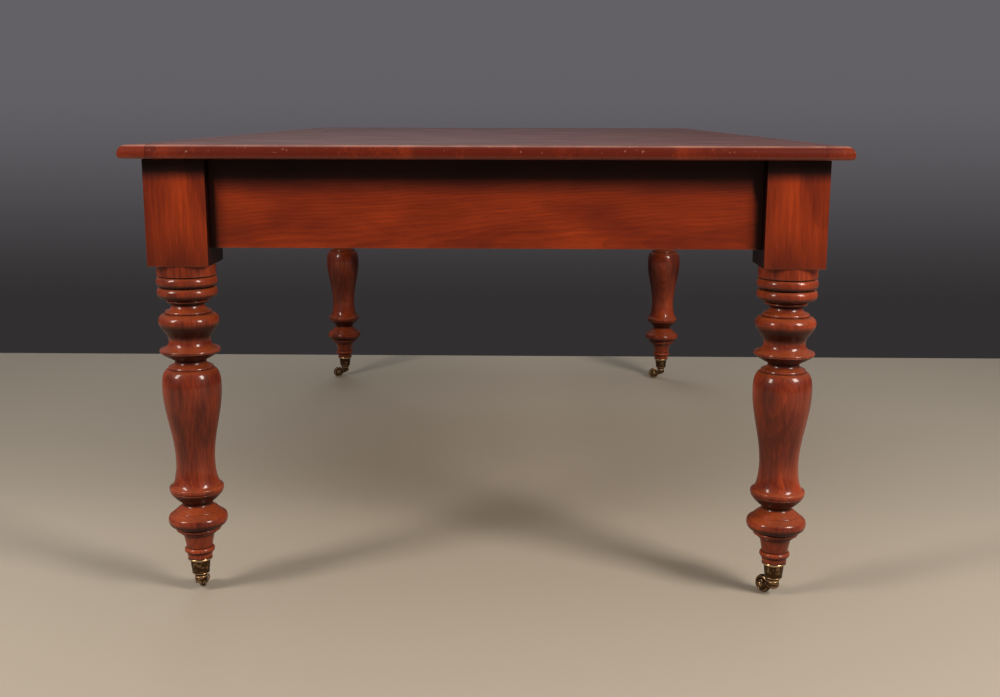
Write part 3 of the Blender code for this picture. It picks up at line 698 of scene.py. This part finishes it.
def joined(meshes):
    """One mesh of several."""
    bm = bmesh.new()
    for mesh in meshes:
        bm.from_mesh(mesh)
    mesh = bpy.data.meshes.new("shape")
    bm.to_mesh(mesh)
    bm.free()
    return mesh


def carved(base, joins=(), cuts=()):
    """A mesh with others joined to it and cut from it."""
    obj = bpy.data.objects.new("work", base)
    tools = []
    bpy.context.scene.collection.objects.link(obj)
    for operation, meshes in (("UNION", joins), ("DIFFERENCE", cuts)):
        for mesh in meshes:
            tool = bpy.data.objects.new("tool", mesh)
            bpy.context.scene.collection.objects.link(tool)
            tools.append(tool)
            boolean = obj.modifiers.new(operation.title(), "BOOLEAN")
            boolean.operation = operation
            boolean.solver = "EXACT"
            boolean.object = tool
    depsgraph = bpy.context.evaluated_depsgraph_get()
    result = bpy.data.meshes.new_from_object(obj.evaluated_get(depsgraph), depsgraph=depsgraph)
    for work in (obj, *tools):
        bpy.data.objects.remove(work, do_unlink=True)
    return result


def new_piece(name, mesh, materials, body, nodes):
    """Show a mesh as a piece that stands for some nodes and rides on a body."""
    piece = bpy.data.objects.new(name, mesh)
    bpy.context.scene.collection.objects.link(piece)
    for material in materials:
        mesh.materials.append(material)
    normals = piece.modifiers.new("Normals", "WEIGHTED_NORMAL")
    normals.keep_sharp = True
    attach(piece, body)
    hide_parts(*nodes)
    return piece


def middle(node):
    """Centre of a node's box."""
    low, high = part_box(node)
    return (low + high) / 2


# Operators

class WRITINGTABLE_OT_legs(bpy.types.Operator):
    """Make the four turned legs"""

    bl_idname = "writing_table.legs"
    bl_label = "Legs"

    def execute(self, context):
        sizes, _ = settings()
        turning = turned(softened(profile_of(LEG_TURNING), sizes.softening / MM), 72)
        for polygon in turning.polygons:
            polygon.material_index = 1
        for number, place in enumerate(PLACES):
            node = f"leg_{place}"
            low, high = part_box(node)
            centre = (low + high) / 2
            block = self.block(low, high, low.x if centre.x > 0.0 else high.x)
            axis = Matrix.Translation((centre.x, centre.y, 0.0))
            # Each leg is sawn from another place in the log
            heart = centre + Vector((0.07 - 0.02 * number, 0.11, 0.35))
            woods = [french_polished(f"block_{place}", "Z", heart=heart, contrast=1.5,
                                     rings=0.3),
                     # The turning gets painted light on what faces up and painted shade on what
                     # faces down
                     french_polished(f"turning_{place}", "Z", shade="turned", heart=heart,
                                     contrast=1.6, coat=0.5, aged=1.0)]
            new_piece(f"turned_leg_{place}", joined([block, placed(turning, axis)]), woods,
                      "table", [node])
        return {"FINISHED"}

    def block(self, low, high, inside):
        """Square block, with painted shade: deep on the face towards the table's middle, which
        the apron shadows, and lighter round the foot."""
        sizes, _ = settings()
        # Painted shadow of the top's overhang on the block's upper part
        block = eased_board((low.x, low.y, BLOCK_FOOT * MM), high, 1.5 * MM,
                            overhang_shadow_depth=sizes.painted_overhang_on_blocks)
        for vertex, relief in zip(block.vertices, block.attributes["relief"].data):
            # Painted shade: the whole face towards the middle darkest, and the foot darker
            if abs(vertex.co.x - inside) < 0.1 * MM:
                relief.value = -1.0
            elif vertex.co.z < BLOCK_FOOT * MM + sizes.painted_foot_shade:
                relief.value = -0.6
        return block


class WRITINGTABLE_OT_castors(bpy.types.Operator):
    """Make the four brass castors"""

    bl_idname = "writing_table.castors"
    bl_label = "Castors"

    def execute(self, context):
        brass = finish("aged_cast_brass", cast_brass)
        browned = finish("browned_cast_brass", cast_brass, -0.7)
        cup = turned(softened(profile_of(CUP_TURNING, 0.5), 0.3), 48, 1.2)
        for vertex, relief in zip(cup.vertices, cup.attributes["relief"].data):
            # Feet and dusters keep the flange bright, which starts at 57 mm
            if vertex.co.z > 57.0 * MM:
                relief.value = 1.0
        axle_height = middle("castor_wheel_front_left").z
        side = profile_of(WHEEL_SIDE, 0.5)
        # Both sides have the point at mid tread
        wheel = placed(turned(side + mirrored(side)[1:], 56, 1.2), TIPPED)
        rivet = profile_of(RIVET_HEAD, 0.4)
        axle = placed(turned(rivet + mirrored(rivet), 28, 1.0), TIPPED)
        for place in PLACES:
            foot = middle(f"castor_cup_{place}")
            hub = middle(f"castor_wheel_{place}")
            trail = Vector((hub.x - foot.x, hub.y - foot.y, 0.0))
            axis = (Matrix.Translation((foot.x, foot.y, 0.0))
                    @ Matrix.Rotation(math.atan2(trail.y, trail.x), 4, "Z"))
            wheel_axis = axis @ Matrix.Translation((trail.length, 0.0, axle_height))
            horn = self.horn(trail.length, axle_height)
            for part, mesh, at, metal, body in (
                    ("cup", cup, axis, brass, "table"),
                    ("horn", horn, axis, brass, f"swivel_{place}"),
                    ("axle", axle, wheel_axis, brass, f"swivel_{place}"),
                    ("wheel", wheel, wheel_axis, browned, f"wheel_{place}")):
                new_piece(f"brass_{part}_{place}", placed(mesh, at), [metal], body,
                          [f"castor_{part}_{place}"])
        return {"FINISHED"}

    def horn(self, trail, axle_height):
        """Boss with a stem, and two cheeks that narrow to the axle."""
        boss = turned(softened(profile_of(HORN_TURNING, 0.6), 0.3), 48, 1.2)
        outline = [(x * MM, z * MM) for x, z in ((0.0, 24.2), (0.0, 13.4), (12.0, 11.4))]
        # Round end of a cheek, about the axle
        end = 5.5 * MM
        for step in range(13):
            angle = math.radians(-100 + 180 * step / 12)
            outline.append((trail + end * math.cos(angle), axle_height + end * math.sin(angle)))
        outline += [(14.0 * MM, 20.9 * MM), (7.0 * MM, 22.6 * MM)]
        half, offset = 1.6 * MM, 8.4 * MM
        cheeks = []
        for side in (-1, 1):
            bm = bmesh.new()
            bm.from_mesh(prism(outline, -half, half))
            corners = [edge for edge in bm.edges if edge.calc_face_angle() > 1.2]
            bmesh.ops.bevel(bm, geom=corners, offset=0.6 * MM, segments=2, profile=0.5,
                            affect="EDGES")
            aside = Matrix.Translation((0.0, side * offset, 0.0))
            cheeks.append(placed(smooth_mesh(bm), aside @ TIPPED))
        across = Matrix.Translation((trail, 0.0, axle_height)) @ TIPPED
        horn = carved(boss, cheeks, [placed(rod(16.3, 7.0, 48), across),
                                     placed(rod(2.8, 14.0, 24), across)])
        horn.set_sharp_from_angle(angle=SHARP_TURN)
        return horn


class WRITINGTABLE_OT_top(bpy.types.Operator):
    """Make the moulded edges and the hide of the top"""

    bl_idname = "writing_table.top"
    bl_label = "Top"

    def strip(self, low, high, sides):
        """A strip with a thumb moulding on its outer sides and a rebate for the hide."""
        sizes, _ = settings()
        low, high = Vector(low), Vector(high)
        faces = [(axis, high[axis] if sign > 0 else low[axis]) for axis, sign in sides]
        bm = plain_box(low, high)
        for height, radius, segments in ((high.z, sizes.thumb, 14), (low.z, sizes.under, 6)):
            chosen = []
            for edge in bm.edges:
                level = all(abs(vertex.co.z - height) < CLOSE for vertex in edge.verts)
                centre = (edge.verts[0].co + edge.verts[1].co) / 2
                if level and any(abs(centre[axis] - face) < CLOSE for axis, face in faces):
                    chosen.append(edge)
            bmesh.ops.bevel(bm, geom=chosen, offset=radius, segments=segments, profile=0.5,
                            affect="EDGES")
        mesh = smooth_mesh(bm)
        hide_low, hide_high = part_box("leather_inset")
        margin = Vector((FIT, FIT, FIT))
        bed = plain_box(hide_low - margin, hide_high + margin + Vector((0.0, 0.0, 3.4 * MM)))
        mesh = carved(mesh, cuts=[smooth_mesh(bed)])
        mesh.set_sharp_from_angle(angle=SHARP_TURN)
        relief = mesh.attributes.new("relief", "FLOAT", "POINT")
        for vertex, value in zip(mesh.vertices, relief.data):
            for axis, face in faces:
                depth = abs(vertex.co[axis] - face) / sizes.thumb
                rise = (vertex.co.z - high.z) / sizes.thumb + 1.0
                turn = math.degrees(math.atan2(rise, 1.0 - depth))
                # Hands rub the curve, and its upper part most; that upper part is painted pale,
                # real wear with a painted reflection along the arris
                if depth < 0.97 and 5 < turn < 85:
                    value.value = 1.0 if turn > 52 else 0.55
        return mesh

    def moulding(self, name, node, low, high, sides, grain, **look):
        """One length of the moulded edge, dulled and knocked by hands, with a painted
        reflection along its upper curve.
        """
        wood = french_polished(f"edge_{name}", grain, dull=0.6, wear=0.9, nicks=0.35, **look)
        new_piece(f"moulding_{name}", self.strip(low, high, sides), [wood], "table",
                  [node])

    def execute(self, context):
        for side, sign in SIDES.items():
            node = f"top_edge_{side}"
            self.moulding(side, node, *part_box(node), ((0, sign), (1, -1), (1, 1)), "Y",
                          heart=(0.6 * sign, 0.3, 0.6), tone=-0.3)
        self.moulding("back", "top_edge_back", *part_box("top_edge_back"), ((1, 1),), "X",
                      heart=(0.0, 1.0, 0.6), tone=-0.3)
        low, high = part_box("top_edge_front")
        joints = [low.x, *FRONT_JOINTS, high.x]
        for number, tone in enumerate(FRONT_TONES):
            start, end = joints[number] + FIT / 2, joints[number + 1] - FIT / 2
            self.moulding(f"front_{number + 1}", "top_edge_front", (start, low.y, low.z),
                          (end, high.y, high.z), ((1, -1),), "across",
                          heart=(0.4 * number, -0.85, 0.6), tone=tone, contrast=1.8)
        hide = eased_board(*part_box("leather_inset"), 0.4 * MM)
        new_piece("hide_field", hide, [finish("waxed_dyed_hide", waxed_hide)], "table",
                  ["leather_inset"])
        return {"FINISHED"}


class WRITINGTABLE_OT_frieze(bpy.types.Operator):
    """Make the end aprons and the drawer rails"""

    bl_idname = "writing_table.frieze"
    bl_label = "Frieze"

    def execute(self, context):
        sizes, _ = settings()
        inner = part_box("leg_front_left")[1]
        for end, sign in ENDS.items():
            node = f"end_apron_{end}"
            low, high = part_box(node)
            # Painted shadows of the top's overhang along the upper band and of the legs' blocks
            # at the ends
            board = eased_board((inner.x + FIT, low.y, low.z), (-inner.x - FIT, high.y, high.z),
                                overhang_shadow_depth=sizes.painted_overhang_on_aprons, leg_shadow_depth=sizes.painted_leg_shadow_on_aprons)
            wood = french_polished(f"apron_{end}", "X", heart=(0.06, low.y + 0.05 * sign, 0.60))
            new_piece(f"apron_board_{end}", board, [wood], "table", [node])
        for side in SIDES:
            for level in ("lower", "upper"):
                node = f"{level}_rail_{side}"
                low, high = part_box(node)
                board = eased_board((low.x, inner.y + FIT, low.z),
                                    (high.x, -inner.y - FIT, high.z))
                new_piece(f"rail_board_{level}_{side}", board,
                          [french_polished("mahogany_y", "Y")], "table", [node])
        return {"FINISHED"}


class WRITINGTABLE_OT_drawers(bpy.types.Operator):
    """Make the six drawers with their knobs and keyholes"""

    bl_idname = "writing_table.drawers"
    bl_label = "Drawers"

    def keyhole(self, margin, low, high):
        """A keyhole with a margin outside it, raised from one height to another, in mm."""
        radius, slot, tail = (2.6 + margin) * MM, (1.5 + margin) * MM, (8.5 + margin) * MM
        start = math.asin(slot / radius)
        points = []
        for step in range(21):
            angle = -math.pi / 2 + start + (2 * math.pi - 2 * start) * step / 20
            points.append((radius * math.cos(angle), radius * math.sin(angle)))
        return prism(points + [(-slot, -tail), (slot, -tail)], low * MM, high * MM)

    def execute(self, context):
        brass = finish("polished_thread_brass", cast_brass, bright=0.75)
        wood = french_polished("mahogany_y", "Y")
        knob_wood = french_polished("knob", "X", shade="turned", heart=(0.0, 0.02, 0.6))
        linings = [finish("planed_oak_x", planed_oak, "X"),
                   finish("planed_oak_y", planed_oak, "Y", heart=(0.2, 0.0, 0.4))]
        outward = Matrix.Rotation(math.pi / 2, 4, "Y")
        knob = turned(softened(profile_of(KNOB_TURNING, 0.8), 0.4), 48, 1.5)
        knob = placed(knob, outward)
        for drawer in DRAWERS:
            sign = SIDES[drawer.split("_")[0]]
            body, front = f"drawer_{drawer}", f"drawer_front_{drawer}"
            low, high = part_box(front)
            face = high.x if sign > 0 else low.x
            # Keyholes sit above the middle of a front
            centre = Vector((face, (low.y + high.y) / 2, low.z + (high.z - low.z) * 0.72))
            turn = Matrix.Rotation(0.0 if sign > 0 else math.pi, 4, "Z")
            lock = (Matrix.Translation(centre) @ turn @ outward
                    @ Matrix.Rotation(math.pi / 2, 4, "Z"))
            board = carved(eased_board(low, high),
                           cuts=[placed(self.keyhole(0.8, -3.0, 3.0), lock),
                                 placed(self.keyhole(0.0, -14.0, 3.0), lock)])
            thread = carved(self.keyhole(0.75, -2.9, 0.25), cuts=[self.keyhole(0.0, -5.0, 3.0)])
            thread.set_sharp_from_angle(angle=math.radians(30))
            new_piece(f"drawer_board_{drawer}", board, [wood], body, [front])
            new_piece(f"keyhole_thread_{drawer}", placed(thread, lock), [brass], body,
                      [front])
            self.lining(drawer, sign, linings, body)
            for letter in "ab":
                node = f"knob_{drawer}_{letter}"
                spot = middle(node)
                place = Matrix.Translation((face, spot.y, spot.z)) @ turn
                new_piece(f"turned_knob_{drawer}_{letter}", placed(knob, place), [knob_wood],
                          body, [node])
        return {"FINISHED"}

    def lining(self, drawer, sign, linings, body):
        """Sides, back, bottom and the tails that lap the front."""
        node = f"drawer_box_{drawer}"
        low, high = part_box(node)
        thick = 10 * MM
        near, far = (high.x, low.x) if sign > 0 else (low.x, high.x)
        inner_back = far + sign * thick
        boards = []

        def add_board(x_pair, y_pair, bottom, top, slot=0):
            (x_low, x_high), (y_low, y_high) = sorted(x_pair), sorted(y_pair)
            boards.append(eased_board((x_low, y_low, bottom), (x_high, y_high, top), slot=slot))

        for side, outer in ((-1, low.y), (1, high.y)):
            add_board((near, far), (outer, outer - side * thick), low.z, high.z)
            upright = Matrix.Translation((0.0, outer, 0.0)) @ TIPPED
            for number in range(3):
                z = low.z + (number + 0.5) * (high.z - low.z) / 3
                tail = [(near + sign * (x * MM + FIT), z + rise * MM) for x, rise in TAIL]
                boards.append(placed(prism(tail, -0.1 * MM, 0.1 * MM), upright))
        between = (low.y + thick, high.y - thick)
        add_board((far, inner_back), between, low.z, high.z, 1)
        # The bottom, let into the sides above their lower edges
        add_board((inner_back, near), between, low.z + 5 * MM, low.z + 11 * MM, 1)
        new_piece(f"drawer_lining_{drawer}", joined(boards), linings, body, [node])


class WRITINGTABLE_OT_carcase(bpy.types.Operator):
    """Give the carcase's inner boards their finishes"""

    bl_idname = "writing_table.carcase"
    bl_label = "Carcase"

    def execute(self, context):
        oak = finish("planed_oak_x", planed_oak, "X")
        finishes = {"top_board": inner_mahogany("Y"), "partition_1": inner_mahogany("X"),
                    "partition_2": inner_mahogany("X"), "end_runner_front": oak,
                    "end_runner_back": oak}
        for node, material in finishes.items():
            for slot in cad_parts[node].material_slots:
                slot.link = "OBJECT"
                slot.material = material
        return {"FINISHED"}


class WRITINGTABLE_OT_stage(bpy.types.Operator):
    """Make the floor, the studio's wall and lights, and the camera"""

    bl_idname = "writing_table.stage"
    bl_label = "Stage"

    def lamp(self, name, place, aim, size, power, tint="ffffff"):
        """A soft rectangular lamp that faces a point."""
        light = bpy.data.lights.new(name, "AREA")
        light.shape = "RECTANGLE"
        light.size, light.size_y = size
        light.energy = power
        light.color = linear(tint)[:3]
        lamp = bpy.data.objects.new(name, light)
        lamp.location = place
        lamp.rotation_euler = (Vector(aim) - Vector(place)).to_track_quat("-Z", "Y").to_euler()
        bpy.context.scene.collection.objects.link(lamp)

    def sheet(self, name, corners, material):
        """A flat sheet of the stage."""
        bm = bmesh.new()
        bm.faces.new([bm.verts.new(corner) for corner in corners])
        sheet = bpy.data.objects.new(name, smooth_mesh(bm))
        bpy.context.scene.collection.objects.link(sheet)
        sheet.data.materials.append(material)

    def backdrop(self, tree, kind, rise, foot, head):
        """What the camera and reflections see of the backdrop, which darkens towards its
        foot as a wall does that the lamps don't reach, and the plain light that it gives."""
        _, colours = settings()
        seen = 0.0
        for ray in ("Camera", "Glossy", "Transmission"):
            path = add_node(tree, "LightPath", {}, f"Is {ray} Ray")
            seen = add_node(tree, "Math", {0: seen, 1: path}, operation="MAXIMUM")
        light = add_node(tree, kind, {"Color": linear("f2efe9"), "Strength": 0.26})
        share = add_node(tree, "MapRange", {"Value": rise, "From Min": foot, "From Max": head},
                         interpolation_type="SMOOTHSTEP")
        paint = add_node(tree, "Mix", {0: share, 6: colours.backdrop_foot, 7: colours.backdrop},
                         2, data_type="RGBA")
        view = add_node(tree, kind, {"Color": paint, "Strength": 1.0})
        return add_node(tree, "MixShader", {0: seen, 1: light, 2: view})

    def painted_wall(self):
        """A glowing wall in the backdrop's colours, with painted shade at its foot, open from
        behind, so that the table shows there, and that takes no light from the floor beyond it."""
        material, tree, shader = new_material("glowing_backdrop_wall")
        tree.nodes.remove(shader)
        place = add_node(tree, "TexCoord", {}, "Object")
        rise = add_node(tree, "SeparateXYZ", {"Vector": place}, "Z")
        paint = self.backdrop(tree, "Emission", rise, 0.15, 0.95)
        behind = add_node(tree, "NewGeometry", {}, "Backfacing")
        shadow = add_node(tree, "LightPath", {}, "Is Shadow Ray")
        opened = add_node(tree, "Math", {0: behind, 1: shadow}, operation="MAXIMUM")
        clear = add_node(tree, "BsdfTransparent", {})
        wall = add_node(tree, "MixShader", {0: opened, 1: paint, 2: clear})
        feed(tree, tree.nodes["Material Output"], {"Surface": wall})
        return material

    def execute(self, context):
        scene = context.scene
        sizes, colours = settings()
        wide, far, tall = sizes.floor, sizes.wall, sizes.wall_height
        material, tree, shader = new_material("matt_painted_floor")
        feed(tree, shader, {"Base Color": colours.floor, "Roughness": 0.7})
        self.sheet("studio_floor", ((-wide, -wide, 0.0), (wide, -wide, 0.0),
                                    (wide, wide, 0.0), (-wide, wide, 0.0)), material)
        self.sheet("studio_wall", ((-wide, far, 0.0), (wide, far, 0.0), (wide, far, tall),
                                   (-wide, far, tall)), self.painted_wall())

        world = bpy.data.worlds.new("studio")
        scene.world = world
        world.use_nodes = True
        tree = world.node_tree
        way = add_node(tree, "TexCoord", {}, "Generated")
        rise = add_node(tree, "SeparateXYZ", {"Vector": way}, "Z")
        feed(tree, tree.nodes["World Output"],
             {"Surface": self.backdrop(tree, "Background", rise, -0.16, 0.03)})

        self.lamp("soft_box_left", (-2.04, -2.07, 1.75), (-0.2, -0.8, 0.4), (0.6, 1.1), 44.0,
                  "fff4e8")
        self.lamp("soft_box_right", (2.13, -2.31, 2.0), (0.0, -0.9, 0.4), (0.8, 1.2), 86.0,
                  "fff4e8")
        self.lamp("ceiling_light", (0.0, 0.2, 3.2), (0.0, 0.2, 0.0), (3.0, 3.0), 20.0)
        self.lamp("soft_box_back", (-0.7, 3.0, 2.7), (0.0, 0.3, 0.3), (1.8, 1.2), 15.0)

        camera = bpy.data.cameras.new("camera")
        # Focal length as a share of the sensor's width, as solved from the photograph
        camera.sensor_width = 36.0
        camera.lens = camera.sensor_width * 1.2054
        holder = bpy.data.objects.new("camera", camera)
        pitch, turn, roll = (math.radians(angle) for angle in (11.185, -1.053, 0.113))
        holder.location = (0.0592, -2.8056, 0.8132)
        holder.rotation_mode = "QUATERNION"
        facing = (Matrix.Rotation(-turn, 4, "Z") @ Matrix.Rotation(math.pi / 2 - pitch, 4, "X")
                  @ Matrix.Rotation(roll, 4, "Z"))
        holder.rotation_quaternion = facing.to_quaternion()
        scene.collection.objects.link(holder)
        scene.camera = holder
        scene.view_settings.view_transform = "Standard"
        return {"FINISHED"}


class WRITINGTABLE_PT_panel(bpy.types.Panel):
    """Steps of the writing table"""

    bl_idname = "WRITINGTABLE_PT_panel"
    bl_label = "Writing Table"
    bl_space_type = "VIEW_3D"
    bl_region_type = "UI"
    bl_category = "Writing Table"

    def draw(self, context):
        column = self.layout.column()
        for group in (context.scene.writing_table_colours, context.scene.writing_table_sizes):
            for name in group.__annotations__:
                column.prop(group, name)
        for operator in OPERATORS:
            column.operator(operator.bl_idname)


OPERATORS = (
    WRITINGTABLE_OT_legs,
    WRITINGTABLE_OT_castors,
    WRITINGTABLE_OT_top,
    WRITINGTABLE_OT_frieze,
    WRITINGTABLE_OT_drawers,
    WRITINGTABLE_OT_carcase,
    WRITINGTABLE_OT_stage,
)
CLASSES = (WritingTableColours, WritingTableSizes, *OPERATORS, WRITINGTABLE_PT_panel)


def register():
    """Add the classes and their settings."""
    for cls in CLASSES:
        bpy.utils.register_class(cls)
    bpy.types.Scene.writing_table_colours = bpy.props.PointerProperty(type=WritingTableColours)
    bpy.types.Scene.writing_table_sizes = bpy.props.PointerProperty(type=WritingTableSizes)


def unregister():
    """Remove the classes and their settings."""
    del bpy.types.Scene.writing_table_sizes
    del bpy.types.Scene.writing_table_colours
    for cls in reversed(CLASSES):
        bpy.utils.unregister_class(cls)


def main():
    """Make every piece and the stage."""
    register()
    for operator in OPERATORS:
        group, name = operator.bl_idname.split(".")
        getattr(getattr(bpy.ops, group), name)()


if __name__ == "__main__":
    main()
